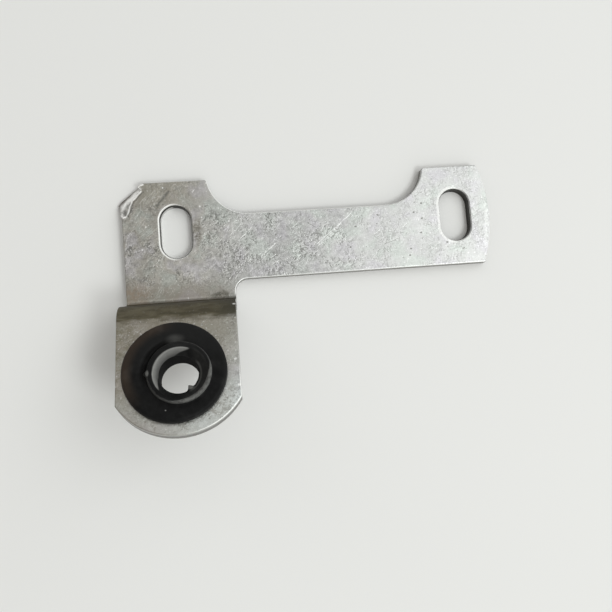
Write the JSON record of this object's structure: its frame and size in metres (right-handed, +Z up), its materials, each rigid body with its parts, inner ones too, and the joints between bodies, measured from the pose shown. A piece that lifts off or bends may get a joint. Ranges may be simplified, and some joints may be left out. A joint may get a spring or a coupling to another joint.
{
  "type": "stamped metal bracket",
  "caption": "Flat zinc-plated steel mounting plate with slotted bolt holes and a raised, tilted tab that holds a rubber bush.",
  "frame": {"origin": "on the plate's underside, midway between the centres of the two bolt slots", "axes": "+Z up out of the mounting face, +X along the plate from the slot beside the tab to the far slot, +Y away from the tab"},
  "size_m": [0.1059, 0.0687, 0.0313],
  "materials": {
    "zinc_steel": "satin zinc plating, worn and lightly scratched",
    "black_rubber": "matt moulded black rubber, slightly dusty"
  },
  "bodies": {
    "root": {"bracket": "zinc_steel", "rubber_bush": "black_rubber"}
  },
  "joints": []
}
